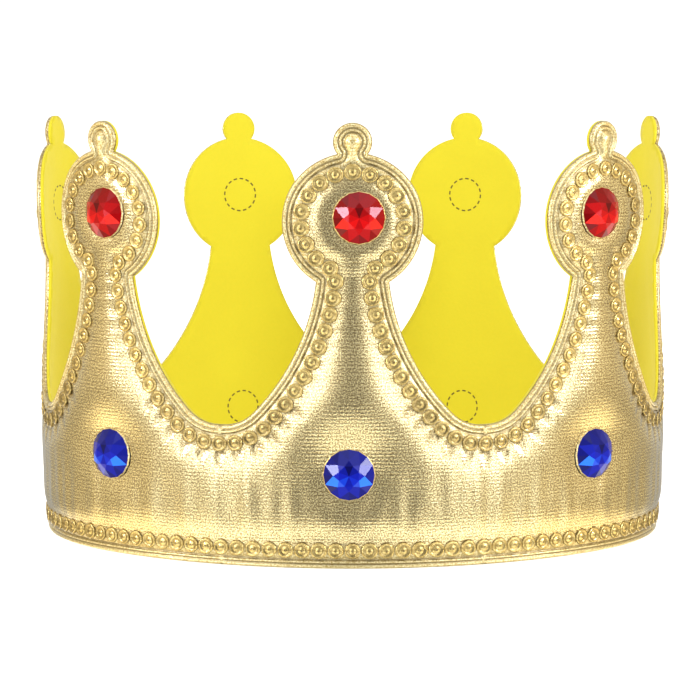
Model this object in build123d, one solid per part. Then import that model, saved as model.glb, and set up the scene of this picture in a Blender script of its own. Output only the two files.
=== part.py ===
from build123d import *

import os
from math import atan2, cos, hypot, pi, radians, sin, sqrt

# A soft costume crown: a padded gold cover with seven points, backed by a yellow lining of the same
# outline, with a faceted gem in the head of each point and another below it on the band. Bead trim runs
# along every edge. The band is a closed ring with upright walls, and its plan is an oval of four arcs.
# The front faces -Y, Z is up, and the origin is at the middle of the oval at the height of the bottom
# edge. Lengths are in millimetres and turns in degrees.

# Plan of the band, measured where the gold cover meets the lining
HALF_WIDTH = 104.2
HALF_DEPTH = 83.5
SIDE_RADIUS_SHARE = 0.84

# Outline of one point, on the flat pattern
POINT_COUNT = 7
BAND_HEIGHT = 44.8
VALLEY_FLAT = 2.0
VALLEY_RADIUS = 14.0
VALLEY_TURN = 45.0
MEDALLION_RADIUS = 21.5
MEDALLION_HEIGHT = 108.5
STEM_HALF_WIDTH = 11.2
FINIAL_RADIUS = 5.9
FINIAL_SINK = 2.7

# Layers of the band
LINING_THICKNESS = 1.0
LINING_FOOT = 0.4
COVER_THICKNESS = 2.6

# Bead trim along the edges
BEAD_INSET = 5.9
BEAD_PITCH = 5.25
BEAD_GAP = 0.65
BEAD_RISE = 1.4
BEAD_SIDES = 4

# Faceted gems with flat backs
GEM_RADIUS = 8.0
GEM_RISE = 4.2
GEM_TABLE_RADIUS = 4.3
GEM_STAR_RADIUS = 6.4
GEM_CORNERS = 8
RED_GEM_LIFT = 0.5
BLUE_GEM_HEIGHT = 30.5
GLUE_THICKNESS = 0.1

# Overruns of the cuts, past the wall and past the middle of a valley
CUT_OVERRUN = 6.0
CUT_LAP = 0.3

# The finial knob sinks into the rim of the medallion, and the red gem sits just above its middle
FINIAL_HEIGHT = MEDALLION_HEIGHT + MEDALLION_RADIUS + FINIAL_RADIUS - FINIAL_SINK
CROWN_HEIGHT = FINIAL_HEIGHT + FINIAL_RADIUS
RED_GEM_HEIGHT = MEDALLION_HEIGHT + RED_GEM_LIFT
BEAD_RADIUS = (BEAD_PITCH - BEAD_GAP) / 2

# The oval: a front and a back arc of one radius, joined by two side arcs
SIDE_RADIUS = SIDE_RADIUS_SHARE * HALF_DEPTH
SIDE_CENTRE = HALF_WIDTH - SIDE_RADIUS
FRONT_RADIUS = (SIDE_CENTRE**2 + HALF_DEPTH**2 - SIDE_RADIUS**2) / (2 * (HALF_DEPTH - SIDE_RADIUS))
FRONT_CENTRE = FRONT_RADIUS - HALF_DEPTH
FRONT_TURN = atan2(SIDE_CENTRE, FRONT_CENTRE)
FRONT_LENGTH = FRONT_RADIUS * FRONT_TURN
SIDE_LENGTH = SIDE_RADIUS * (pi - 2 * FRONT_TURN)
GIRTH = 4 * FRONT_LENGTH + 2 * SIDE_LENGTH
PITCH = GIRTH / POINT_COUNT
POINT_PLACES = [(number - (POINT_COUNT - 1) / 2) * PITCH for number in range(POINT_COUNT)]


class Arc:
    """A circular arc in a plane: its centre, its radius and the angles where it starts and ends."""

    def __init__(self, centre, radius, start, end):
        self.centre = centre
        self.radius = radius
        self.start = start
        self.end = end

    def at(self, share):
        angle = self.start + (self.end - self.start) * share
        return (self.centre[0] + self.radius * cos(angle), self.centre[1] + self.radius * sin(angle))

    def length(self):
        return self.radius * abs(self.end - self.start)

    def angle_of(self, point):
        """The angle of a point as seen from the centre, within half a turn of the start."""
        angle = atan2(point[1] - self.centre[1], point[0] - self.centre[0])
        return angle + 2 * pi * round((self.start - angle) / (2 * pi))


def arc_from(start, heading, end):
    """The arc that leaves one point along a heading, an angle, and reaches another point."""
    run = (end[0] - start[0], end[1] - start[1])
    ahead = run[0] * cos(heading) + run[1] * sin(heading)
    aside = run[1] * cos(heading) - run[0] * sin(heading)
    radius = hypot(*run) ** 2 / (2 * aside)
    centre = (start[0] - radius * sin(heading), start[1] + radius * cos(heading))
    first = heading - pi / 2 if radius > 0 else heading + pi / 2
    return Arc(centre, abs(radius), first, first + 2 * atan2(aside, ahead))


def crossings(first, second):
    """The two points where two circles cross, the lower one first."""
    run = (second.centre[0] - first.centre[0], second.centre[1] - first.centre[1])
    span = hypot(*run)
    ahead = (first.radius**2 - second.radius**2 + span**2) / (2 * span)
    aside = sqrt(first.radius**2 - ahead**2)
    points = []
    for side in (1, -1):
        x = first.centre[0] + (ahead * run[0] - side * aside * run[1]) / span
        y = first.centre[1] + (ahead * run[1] + side * aside * run[0]) / span
        points.append((x, y))
    return sorted(points, key=lambda point: point[1])


def oval_at(along):
    """The place and the outward direction on the oval, at a distance along it from the front."""
    side = 1 if along >= 0 else -1
    rest = abs(along)
    if rest <= FRONT_LENGTH:
        turn = rest / FRONT_RADIUS
        place = Vector(side * FRONT_RADIUS * sin(turn), FRONT_CENTRE - FRONT_RADIUS * cos(turn))
    elif rest <= FRONT_LENGTH + SIDE_LENGTH:
        turn = FRONT_TURN + (rest - FRONT_LENGTH) / SIDE_RADIUS
        place = Vector(side * (SIDE_CENTRE + SIDE_RADIUS * sin(turn)), -SIDE_RADIUS * cos(turn))
    else:
        turn = pi - FRONT_TURN + (rest - FRONT_LENGTH - SIDE_LENGTH) / FRONT_RADIUS
        place = Vector(side * FRONT_RADIUS * sin(turn), -FRONT_CENTRE - FRONT_RADIUS * cos(turn))
    return place, Vector(side * sin(turn), -cos(turn))


def seat_at(along, height, offset):
    """A plane on the band that faces out of it, with its first axis to the right and its second axis up."""
    place, out = oval_at(along)
    return Plane(origin=place + out * offset + Vector(0, 0, height), x_dir=Vector(-out.Y, out.X), z_dir=out)


def oval_core(offset, foot):
    """All that lies inside the band from a height up, out to an offset from where cover meets lining."""
    front = FRONT_RADIUS + offset
    side = SIDE_RADIUS + offset
    turn = FRONT_TURN
    arcs = [
        Arc((0, FRONT_CENTRE), front, 3 * pi / 2 - turn, 3 * pi / 2 + turn),
        Arc((SIDE_CENTRE, 0), side, turn - pi / 2, pi / 2 - turn),
        Arc((0, -FRONT_CENTRE), front, pi / 2 - turn, pi / 2 + turn),
        Arc((-SIDE_CENTRE, 0), side, pi / 2 + turn, 3 * pi / 2 - turn),
    ]
    plan = make_face(Curve() + [ThreePointArc(arc.at(0), arc.at(0.5), arc.at(1)) for arc in arcs])
    return Pos(0, 0, foot) * extrude(plan, amount=CROWN_HEIGHT + CUT_OVERRUN, dir=(0, 0, 1))


def half_outline(inset, finial):
    """The right half of a point on the flat pattern, from valley to tip, moved in from the edge."""
    turn = radians(VALLEY_TURN)
    valley_centre = ((PITCH - VALLEY_FLAT) / 2, BAND_HEIGHT + VALLEY_RADIUS)
    valley = Arc(valley_centre, VALLEY_RADIUS, -pi / 2, -pi / 2 - turn)
    junction = (STEM_HALF_WIDTH, MEDALLION_HEIGHT - sqrt(MEDALLION_RADIUS**2 - STEM_HALF_WIDTH**2))
    # The flank is one arc, tangent to the valley, that ends on the rim of the medallion.
    flank = arc_from(valley.at(1), pi - turn, junction)
    medallion = Arc((0, MEDALLION_HEIGHT), MEDALLION_RADIUS - inset, 0, pi / 2)
    valley.radius += inset
    flank.radius += inset
    neck = crossings(flank, medallion)[0]
    flank.end = flank.angle_of(neck)
    medallion.start = medallion.angle_of(neck)
    arcs = [valley, flank, medallion]
    if finial:
        knob = Arc((0, FINIAL_HEIGHT), FINIAL_RADIUS - inset, 0, pi / 2)
        waist = max(crossings(medallion, knob))
        medallion.end = medallion.angle_of(waist)
        knob.start = knob.angle_of(waist)
        arcs.append(knob)
    return arcs


def waste_above(place):
    """What is cut away around one point, square to the band at the middle of the point."""
    plane = seat_at(place, 0, COVER_THICKNESS)

    def local(along):
        return plane.to_local_coords(seat_at(place + along, 0, COVER_THICKNESS).origin)

    half = half_outline(0, True)
    edges = []
    for side in (1, -1):
        for arc in half:
            points = [(local(side * x).X, z) for x, z in (arc.at(0), arc.at(0.5), arc.at(1))]
            edges.append(ThreePointArc(*points))
    flat, valley = half[0].at(0)
    left = local(-PITCH / 2)
    right = local(PITCH / 2)
    top = CROWN_HEIGHT + 2 * CUT_OVERRUN
    frame = Polyline(
        (local(-flat).X, valley),
        (left.X - CUT_LAP, valley),
        (left.X - CUT_LAP, top),
        (right.X + CUT_LAP, top),
        (right.X + CUT_LAP, valley),
        (local(flat).X, valley),
    )
    depth = COVER_THICKNESS + LINING_THICKNESS + CUT_OVERRUN - min(left.Z, right.Z)
    face = plane.offset(-depth) * make_face(Curve() + edges + [frame])
    return extrude(face, amount=depth + CUT_OVERRUN, dir=plane.z_dir)


def band_sheet(inner, outer, foot, waste):
    """One sheet of the band, between two offsets and from a height up, with its seven points."""
    return (oval_core(outer, foot) - oval_core(inner, foot)).cut(*waste).solid()


def point_at(arcs, distance):
    """A point on a half outline, at a distance along it from the valley."""
    for arc in arcs:
        if distance <= arc.length():
            break
        distance -= arc.length()
    return arc.at(min(distance / arc.length(), 1))


def bead_places():
    """Distance along the band and height of each bead, along the points and along the bottom edge."""
    half = half_outline(BEAD_INSET, False)
    flat_half = VALLEY_FLAT / 2
    half_length = sum(arc.length() for arc in half) + flat_half
    count = round(2 * half_length / BEAD_PITCH)
    places = []
    for place in POINT_PLACES:
        for number in range(count):
            distance = 2 * half_length * number / count
            side = -1 if distance < half_length else 1
            rest = min(distance, 2 * half_length - distance)
            x, z = (PITCH / 2 - rest, BAND_HEIGHT - BEAD_INSET)
            if rest > flat_half:
                x, z = point_at(half, rest - flat_half)
            places.append((place + side * x, z))
    bottom_count = round(GIRTH / BEAD_PITCH)
    for number in range(bottom_count):
        places.append(((number / bottom_count - 1 / 2) * GIRTH, BEAD_INSET))
    return places


def bead():
    """One bead: a low faceted stud with a flat back."""
    return loft([RegularPolygon(BEAD_RADIUS, BEAD_SIDES), Vertex(0, 0, BEAD_RISE)])


def gem():
    """A flat-backed round gem: sixteen girdle facets, eight kites, eight stars and a table."""
    slope = GEM_RISE / (GEM_RADIUS - GEM_TABLE_RADIUS)
    star_height = GEM_RISE - (GEM_STAR_RADIUS * cos(pi / GEM_CORNERS) - GEM_TABLE_RADIUS) * slope

    def ring(radius, height, count, shift):
        turns = [(number + shift) * 2 * pi / count for number in range(count)]
        return [(radius * cos(turn), radius * sin(turn), height) for turn in turns]

    girdle = ring(GEM_RADIUS, 0, 2 * GEM_CORNERS, 0)
    stars = ring(GEM_STAR_RADIUS, star_height, GEM_CORNERS, 1 / 2)
    table = ring(GEM_TABLE_RADIUS, GEM_RISE, GEM_CORNERS, 0)
    facets = [girdle[::-1], table]
    for number in range(2 * GEM_CORNERS):
        facets.append([girdle[number], girdle[number + 1 - 2 * GEM_CORNERS], stars[number // 2]])
    for number in range(GEM_CORNERS):
        facets.append([table[number], stars[number - 1], girdle[2 * number], stars[number]])
        facets.append([table[number], stars[number], table[number + 1 - GEM_CORNERS]])
    return Solid(Shell([Face(Wire.make_polygon(facet, close=True)) for facet in facets]))


os.makedirs("parts", exist_ok=True)
waste = [waste_above(place) for place in POINT_PLACES]
stud = bead()
stone = gem()
nodes = {
    "gold_cover": band_sheet(0, COVER_THICKNESS, 0, waste),
    "yellow_lining": band_sheet(-LINING_THICKNESS, 0, LINING_FOOT, waste),
    "bead_trim": Compound([seat_at(*spot, COVER_THICKNESS).location * stud for spot in bead_places()]),
}
for number, place in enumerate(POINT_PLACES, 1):
    for colour, height in (("red", RED_GEM_HEIGHT), ("blue", BLUE_GEM_HEIGHT)):
        seat = seat_at(place, height, COVER_THICKNESS + GLUE_THICKNESS)
        nodes[f"{colour}_gem_{number}"] = seat.location * stone
for name, shape in nodes.items():
    export_step(shape, f"parts/{name}.step")
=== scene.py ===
# %% [markdown]
# # A soft gold costume crown
# The crown is one strip of pale gold knit fabric over thin foam. A hot die presses a double line and a row
# of beads along its edges and cuts it to seven points, and the strip is closed into an oval ring. A strip of
# yellow felt lines it, and round acrylic gems sit in the heads of the points and on the band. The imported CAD
# model gives the frame. Lengths of the crown are in millimetres until they are wrapped, and floor, lights
# and camera are in metres.

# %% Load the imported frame
from math import atan2, ceil, cos, hypot, pi, radians, sin, sqrt

import bpy
import numpy as np
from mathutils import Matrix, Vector, noise
from mathutils.geometry import delaunay_2d_cdt
from mathutils.kdtree import KDTree


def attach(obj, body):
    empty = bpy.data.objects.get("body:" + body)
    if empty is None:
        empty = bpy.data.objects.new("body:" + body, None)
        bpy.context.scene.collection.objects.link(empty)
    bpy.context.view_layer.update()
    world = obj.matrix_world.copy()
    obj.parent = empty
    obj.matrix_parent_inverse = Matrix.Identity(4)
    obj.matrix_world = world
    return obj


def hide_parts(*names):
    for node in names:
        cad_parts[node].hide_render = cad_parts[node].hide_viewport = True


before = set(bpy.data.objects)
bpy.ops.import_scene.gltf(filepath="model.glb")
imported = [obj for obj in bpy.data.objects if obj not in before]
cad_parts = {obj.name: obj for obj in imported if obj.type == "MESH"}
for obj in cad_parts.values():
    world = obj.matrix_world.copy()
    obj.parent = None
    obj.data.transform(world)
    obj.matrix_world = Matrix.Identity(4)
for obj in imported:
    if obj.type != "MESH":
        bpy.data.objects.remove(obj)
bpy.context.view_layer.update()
bpy.ops.object.select_all(action="DESELECT")

# %% [markdown]
# ## The oval plan
# Seen from above the band is an oval of four arcs. Every soft piece is laid out flat first, as a cutter
# would do it, with a distance along the band and a height. Then it is wrapped round the oval. The real walls
# lean out a little towards the points, so the wrap adds a small lean about the middle of the crown.

# %% Wrap a flat pattern round the oval
MM = 0.001
HALF_WIDTH = 104.2
HALF_DEPTH = 83.5
SIDE_RADIUS_SHARE = 0.84
LEAN = 0.03
LEAN_LEVEL = 55.0

SIDE_RADIUS = SIDE_RADIUS_SHARE * HALF_DEPTH
SIDE_CENTRE = HALF_WIDTH - SIDE_RADIUS
FRONT_RADIUS = (SIDE_CENTRE**2 + HALF_DEPTH**2 - SIDE_RADIUS**2) / (2 * (HALF_DEPTH - SIDE_RADIUS))
FRONT_CENTRE = FRONT_RADIUS - HALF_DEPTH
FRONT_TURN = atan2(SIDE_CENTRE, FRONT_CENTRE)
FRONT_LENGTH = FRONT_RADIUS * FRONT_TURN
SIDE_LENGTH = SIDE_RADIUS * (pi - 2 * FRONT_TURN)
GIRTH = 4 * FRONT_LENGTH + 2 * SIDE_LENGTH


def on_oval(along):
    """The place on the oval and the way out of it, at distances along the band from the front."""
    rest = np.abs(along)
    front = rest <= FRONT_LENGTH
    back = rest > FRONT_LENGTH + SIDE_LENGTH
    turn = np.where(front, rest / FRONT_RADIUS, FRONT_TURN + (rest - FRONT_LENGTH) / SIDE_RADIUS)
    turn = np.where(back, pi - FRONT_TURN + (rest - FRONT_LENGTH - SIDE_LENGTH) / FRONT_RADIUS, turn)
    radius = np.where(front | back, FRONT_RADIUS, SIDE_RADIUS)
    side = np.where(along < 0, -1.0, 1.0)
    x = side * (np.where(front | back, 0.0, SIDE_CENTRE) + radius * np.sin(turn))
    y = np.where(front, FRONT_CENTRE, np.where(back, -FRONT_CENTRE, 0.0)) - radius * np.cos(turn)
    return x, y, side * np.sin(turn), -np.cos(turn)


def wrap(along, height, out):
    """Points of the flat pattern, with a distance out of it, set on the leaning oval in metres."""
    x, y, out_x, out_y = on_oval(along)
    lift = out + LEAN * (height - LEAN_LEVEL)
    return np.column_stack((x + out_x * lift, y + out_y * lift, height)) * MM


print("girth", round(GIRTH, 1), "mm")

# %% [markdown]
# ## The outline of one point
# Half a point is four arcs: the valley, the long flank, the round medallion and the knob on top. Each arc
# keeps the side that the fabric is on, so that the same arcs moved inwards give the bead row.

# %% Arcs of the outline
POINT_COUNT = 7
PITCH = GIRTH / POINT_COUNT
PLACES = [(number - (POINT_COUNT - 1) / 2) * PITCH for number in range(POINT_COUNT)]
BAND_HEIGHT = 44.8
VALLEY_FLAT = 2.0
VALLEY_RADIUS = 14.0
VALLEY_TURN = radians(45.0)
MEDALLION_RADIUS = 21.5
MEDALLION_HEIGHT = 108.5
STEM_HALF_WIDTH = 11.2
KNOB_RADIUS = 5.9
KNOB_HEIGHT = 133.2
CROWN_HEIGHT = KNOB_HEIGHT + KNOB_RADIUS


def crossing(first, second):
    """The two points where two circles, each a centre and a radius, cross."""
    (x, z, radius), (other_x, other_z, other_radius) = first, second
    span = hypot(other_x - x, other_z - z)
    ahead = (radius**2 - other_radius**2 + span**2) / (2 * span)
    aside = sqrt(radius**2 - ahead**2)
    way_x, way_z = (other_x - x) / span, (other_z - z) / span
    return [
        (x + ahead * way_x - side * aside * way_z, z + ahead * way_z + side * aside * way_x)
        for side in (1, -1)
    ]


def half_arcs(inset, knob=True):
    """Arcs of the right half from valley to tip: centre, radius, first and last angle, side of the fabric."""
    centre = (PITCH / 2 - VALLEY_FLAT / 2, BAND_HEIGHT + VALLEY_RADIUS)
    low, high = -pi / 2, -pi / 2 - VALLEY_TURN
    start = (centre[0] + VALLEY_RADIUS * cos(high), centre[1] + VALLEY_RADIUS * sin(high))
    junction = (STEM_HALF_WIDTH, MEDALLION_HEIGHT - sqrt(MEDALLION_RADIUS**2 - STEM_HALF_WIDTH**2))
    heading = pi - VALLEY_TURN
    run = (junction[0] - start[0], junction[1] - start[1])
    aside = run[1] * cos(heading) - run[0] * sin(heading)
    radius = hypot(*run) ** 2 / (2 * aside)
    flank_centre = (start[0] - radius * sin(heading), start[1] + radius * cos(heading))
    radius = abs(radius)
    head, top = (0, MEDALLION_HEIGHT), (0, KNOB_HEIGHT)
    medallion = (*head, MEDALLION_RADIUS - inset)
    neck = min(crossing((*flank_centre, radius + inset), medallion), key=lambda point: point[1])
    first = atan2(start[1] - flank_centre[1], start[0] - flank_centre[0]) % (2 * pi)
    last = atan2(neck[1] - flank_centre[1], neck[0] - flank_centre[0]) % (2 * pi)
    rise = atan2(neck[1] - MEDALLION_HEIGHT, neck[0])
    arcs = [
        (centre, VALLEY_RADIUS + inset, low, high, 1),
        (flank_centre, radius + inset, first, last, 1),
    ]
    if not knob:
        return arcs + [(head, MEDALLION_RADIUS - inset, rise, pi / 2, -1)]
    waist = max(crossing(medallion, (*top, KNOB_RADIUS - inset)), key=lambda point: point[0])
    head_end = atan2(waist[1] - MEDALLION_HEIGHT, waist[0])
    knob_start = atan2(waist[1] - KNOB_HEIGHT, waist[0])
    return arcs + [
        (head, MEDALLION_RADIUS - inset, rise, head_end, -1),
        (top, KNOB_RADIUS - inset, knob_start, pi / 2, -1),
    ]


print("height of the crown", round(CROWN_HEIGHT, 1), "mm,", len(half_arcs(0)), "arcs for half a point")

# %% [markdown]
# Points along those arcs make the cut edge. At a sharp corner the way into the fabric turns in a small fan,
# so that rings of points beside the edge stay closed there. A search tree of finer points then tells how far
# any place of the pattern lies from the edge, which is what the pressed lines follow.

# %% Points along the edge
EDGE_STEP = 1.1
FINE_STEP = 0.2
CORNER_FAN = 7
SHARP_TURN = 0.1


def half_edge(step):
    """Points along the right half of the outline and the way into the fabric at each, from valley to tip."""
    flat = np.linspace(PITCH / 2, PITCH / 2 - VALLEY_FLAT / 2, 1 + ceil(VALLEY_FLAT / 2 / step))
    points = [(x, BAND_HEIGHT) for x in flat]
    inwards = [(0.0, -1.0)] * len(points)
    for centre, radius, first, last, side in half_arcs(0):
        angles = np.linspace(first, last, ceil(radius * abs(last - first) / step) + 1)
        ways = [(side * cos(angle), side * sin(angle)) for angle in angles]
        before, after = atan2(inwards[-1][1], inwards[-1][0]), atan2(ways[0][1], ways[0][0])
        swing = (after - before + pi) % (2 * pi) - pi
        if abs(swing) > SHARP_TURN:
            turns = [before + swing * share for share in np.linspace(0, 1, CORNER_FAN)[1:-1]]
            points += [points[-1]] * len(turns)
            inwards += [(cos(turn), sin(turn)) for turn in turns]
        points += [(centre[0] + radius * cos(angle), centre[1] + radius * sin(angle)) for angle in angles]
        inwards += ways
    return np.array(points), np.array(inwards)


edge_points, edge_ways = half_edge(EDGE_STEP)
fine_edge, fine_ways = half_edge(FINE_STEP)
edge_tree = KDTree(2 * len(fine_edge))
for number, (x, z) in enumerate(fine_edge):
    edge_tree.insert((x, z, 0), 2 * number)
    edge_tree.insert((-x, z, 0), 2 * number + 1)
edge_tree.balance()


def edge_distance(points):
    """How far each point of the pattern lies inside the nearest edge."""
    return np.array([min(edge_tree.find((x, z, 0))[2], z) for x, z in points])


def outline_holds(x, z):
    """True where a point lies on the fabric."""
    place, number, _ = edge_tree.find((x, z, 0))
    way = fine_ways[number // 2] * (1 if number % 2 == 0 else (-1, 1))
    return (x - place.x) * way[0] + (z - place.y) * way[1] > 0


print("outline of one point:", 2 * len(edge_points), "points")

# %% [markdown]
# ## Meshes on the flat pattern
# A hot die leaves lines that run beside the edge, so the mesh has rings of points beside the edge as well,
# and a plain triangle grid where the fabric is only puffed. First come the grid, a way to leave out points
# that would crowd each other, and the closed boundary of one point of the crown.

# %% Grid and boundary of one point
BORDER = 8.8
BORDER_ROWS = 26
TOUCHING = 1e-6


def thinned(points, apart, taken=()):
    """The points with those left out that come too near to one before them."""
    cells, kept = {}, []

    def near(point):
        column, row = int(point[0] // apart), int(point[1] // apart)
        for i in (column - 1, column, column + 1):
            for j in (row - 1, row, row + 1):
                for x, z in cells.get((i, j), ()):
                    if hypot(x - point[0], z - point[1]) < apart:
                        return True
        return False

    for number, point in enumerate(list(taken) + list(points)):
        if number < len(taken) or not near(point):
            cells.setdefault((int(point[0] // apart), int(point[1] // apart)), []).append(tuple(point))
            if number >= len(taken):
                kept.append(tuple(point))
    return kept


def grid_points(spacing, inside, bottom=0.0):
    """A triangle grid over one point of the crown, at least some way inside its edges."""
    points = []
    for number, z in enumerate(np.arange(bottom, CROWN_HEIGHT, spacing * sqrt(3) / 2)):
        first = -PITCH / 2 + spacing / 2 * (number % 2) + spacing / 2
        points += [(x, z) for x in np.arange(first, PITCH / 2 - spacing / 4, spacing)]
    points = np.array(points)
    within = np.array([outline_holds(x, z) for x, z in points])
    return points[(edge_distance(points) > inside) & within]


border_heights = [*np.arange(0, BORDER, EDGE_STEP)]
border_heights += [*np.linspace(BORDER, BAND_HEIGHT - BORDER, BORDER_ROWS)[:-1]]
border_heights += [BAND_HEIGHT - inset for inset in np.arange(BORDER, TOUCHING, -EDGE_STEP)]
bottom_places = np.linspace(-PITCH / 2, PITCH / 2, ceil(PITCH / EDGE_STEP) + 1)
right_half = [tuple(edge_points[0])]
for before, point in zip(edge_points, edge_points[1:]):
    if hypot(*(point - before)) > TOUCHING:
        right_half.append(tuple(point))
boundary = right_half + [(-x, z) for x, z in right_half[-2::-1]]
outline_length = len(boundary)
boundary += [(-PITCH / 2, z) for z in border_heights[-2:0:-1]]
bottom_start = len(boundary)
boundary += [(x, 0.0) for x in bottom_places]
bottom_end = len(boundary)
boundary += [(PITCH / 2, z) for z in border_heights[1:-1]]
print("boundary of one point:", len(boundary), "points")

# %% [markdown]
# The triangles come from a constrained Delaunay triangulation of one point, and seven copies are joined side
# by side into the whole strip. Two strips, an outer and an inner one, are closed along their edges into one
# solid sheet, with a UV map that keeps every corner's place on the flat pattern.

# %% Join seven points into closed sheets
INSIDE_ONLY = 1
MERGE_DISTANCE = 1e-5
BORDER_TOLERANCE = 1e-4
COARSE_SPACING = 5.0
COARSE_INSIDE = 3.0
COARSE_BOTTOM = 2.0


def one_point(extra):
    """Triangles over one point of the crown, with where the points of its boundary ended up."""
    flat = [Vector(point) for point in boundary + list(extra)]
    ring = list(range(len(boundary)))
    spots, _, faces, origins, _, _ = delaunay_2d_cdt(flat, [], [ring], INSIDE_ONLY, MERGE_DISTANCE)
    order = {}
    for number, sources in enumerate(origins):
        for source in sources:
            order[source] = number
    spots = np.array([tuple(spot) for spot in spots])
    return spots, np.array(faces), [order[number] for number in ring]


def strip(spots, faces, loop):
    """Seven points closed into a ring: places, triangles, pattern places of their corners, and edges."""
    right = sorted(np.flatnonzero(spots[:, 0] > PITCH / 2 - BORDER_TOLERANCE), key=lambda i: spots[i, 1])
    left = sorted(np.flatnonzero(spots[:, 0] < -PITCH / 2 + BORDER_TOLERANCE), key=lambda i: spots[i, 1])
    stays = np.ones(len(spots), bool)
    stays[right] = False
    own = np.cumsum(stays) - 1
    own[right] = own[left]
    each = int(stays.sum())
    edges = [(loop[i], loop[i + 1]) for i in range(outline_length - 1)]
    edges += [(loop[i], loop[i + 1]) for i in range(bottom_start, bottom_end - 1)]
    joined = {"along": [], "height": [], "triangles": [], "corners": [], "rims": []}
    for number, place in enumerate(PLACES):
        numbers = own + number * each
        numbers[right] = own[left] + (number + 1) % POINT_COUNT * each
        joined["along"].append(spots[stays, 0] + place)
        joined["height"].append(spots[stays, 1])
        joined["triangles"].append(numbers[faces])
        joined["corners"].append(np.stack((spots[faces, 0] + place, spots[faces, 1]), axis=-1))
        joined["rims"].append(numbers[np.array(edges)])
    return {name: np.concatenate(values) for name, values in joined.items()}


def closed_sheet(name, outer, outer_places, inner, inner_places):
    """A closed sheet between an outer and an inner strip, with walls along its edges and a pattern map."""
    shift = len(outer["along"])
    rims, back_rims = outer["rims"], inner["rims"] + shift
    turned = inner["triangles"][:, ::-1] + shift
    walls = np.column_stack((rims[:, 1], rims[:, 0], back_rims[:, 0], back_rims[:, 1]))
    faces = outer["triangles"].tolist() + turned.tolist() + walls.tolist()
    mesh = bpy.data.meshes.new(name)
    mesh.from_pydata(np.concatenate((outer_places, inner_places)).tolist(), [], faces)
    flat = np.column_stack((outer["along"], outer["height"]))
    wall_corners = flat[rims[:, [1, 0, 0, 1]]]
    corner_sets = (outer["corners"], inner["corners"][:, ::-1], wall_corners)
    corners = np.concatenate([corner_set.reshape(-1, 2) for corner_set in corner_sets])
    mesh.uv_layers.new(name="pattern").data.foreach_set("uv", (corners * MM).ravel())
    piece = bpy.data.objects.new(name, mesh)
    bpy.context.scene.collection.objects.link(piece)
    mesh.shade_smooth()
    return piece


coarse = strip(*one_point(grid_points(COARSE_SPACING, COARSE_INSIDE, COARSE_BOTTOM)))
print("coarse strip:", len(coarse["along"]), "points,", len(coarse["triangles"]), "triangles")

# %% [markdown]
# ## Beads
# The die presses a row of little bull's-eyes along every edge: a rim, a dish, a dome and a pinhole. The row
# runs on the arcs of the outline, moved inwards, and along the bottom. Beads stand about 5 mm apart, as on
# the real crown, fitted so that whole beads fill each point.

# %% Places of the beads
BEAD_INSET = 5.9
BEAD_PITCH = 5.25
BEAD_RADIUS = 2.52


def row_point(arcs, distance):
    """The point at a distance along the arcs."""
    for centre, radius, first, last, _ in arcs:
        length = radius * abs(last - first)
        if distance <= length:
            break
        distance -= length
    angle = first + (last - first) * min(distance / length, 1)
    return centre[0] + radius * cos(angle), centre[1] + radius * sin(angle)


def bead_places():
    """Distance along the band and height of every bead."""
    arcs = half_arcs(BEAD_INSET, knob=False)
    flat = VALLEY_FLAT / 2
    half = flat + sum(radius * abs(last - first) for _, radius, first, last, _ in arcs)
    count = round(2 * half / BEAD_PITCH)
    spots = []
    for place in PLACES:
        for number in range(count):
            distance = 2 * half * number / count
            side = -1 if distance < half else 1
            rest = min(distance, 2 * half - distance)
            x, z = (PITCH / 2 - rest, BAND_HEIGHT - BEAD_INSET)
            if rest > flat:
                x, z = row_point(arcs, rest - flat)
            spots.append((place + side * x, z))
    bottom = round(GIRTH / BEAD_PITCH)
    spots += [((number / bottom - 1 / 2) * GIRTH, BEAD_INSET) for number in range(bottom)]
    return np.array(spots)


beads = bead_places()
print(len(beads), "beads")

# %% [markdown]
# One bead is modelled as a circle that is extruded and inset a few times. Its flat back is left out,
# because it sits in the fabric.

# %% One bead
BEAD_SIDES = 12
BEAD_RISE = 0.5
BEAD_BACK = 0.01
BEAD_INSETS = {
    "rim": (0.45, 0.15),
    "dish": (0.42, -0.42),
    "floor": (0.6, 0.02),
    "dome": (0.42, 0.5),
    "hole": (0.36, -0.22),
}

bpy.ops.mesh.primitive_circle_add(vertices=BEAD_SIDES, radius=BEAD_RADIUS * MM, fill_type="NGON")
bead = bpy.context.object
bpy.ops.object.mode_set(mode="EDIT")
bpy.ops.mesh.select_all(action="SELECT")
bpy.ops.mesh.extrude_region_move(TRANSFORM_OT_translate={"value": (0, 0, BEAD_RISE * MM)})
for inset, depth in BEAD_INSETS.values():
    bpy.ops.mesh.inset(thickness=inset * MM, depth=depth * MM)
bpy.ops.object.mode_set(mode="OBJECT")
bead_shape = np.array([vertex.co for vertex in bead.data.vertices]) / MM
bead_faces = [tuple(face.vertices) for face in bead.data.polygons if face.center.z > BEAD_BACK * MM]
bpy.data.objects.remove(bead)
print("one bead:", len(bead_shape), "points,", len(bead_faces), "faces")

# %% [markdown]
# The bead is then set along the rows, each copy turned, sized and tilted a little differently, as a worn die
# leaves them. An attribute paints shade into the foot, the dish and the pinhole of every bead, creases and a
# hole where shade falls. More weakly it paints shade over the whole of each bead in the valleys, which makes
# them darker than the others.

# %% Bead rows
BEAD_SEED = 7
BEAD_SEAT = 1.45
BEAD_SIZES = (0.96, 1.03)
BEAD_RISES = (0.85, 1.15)
BEAD_TILT = 0.05
# Painted shade of the beads: their feet, dish ring and pinhole, and a weaker share over the valley beads.
FOOT_RISE = 0.05
DISH_RADIUS = 1.65
DISH_WIDTH = 0.15
DISH_PAINTED_SHADE = 0.75
HOLE_RADIUS = 0.4
VALLEY_RISE = 8.0
VALLEY_PAINTED_SHADE = 0.3

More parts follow.
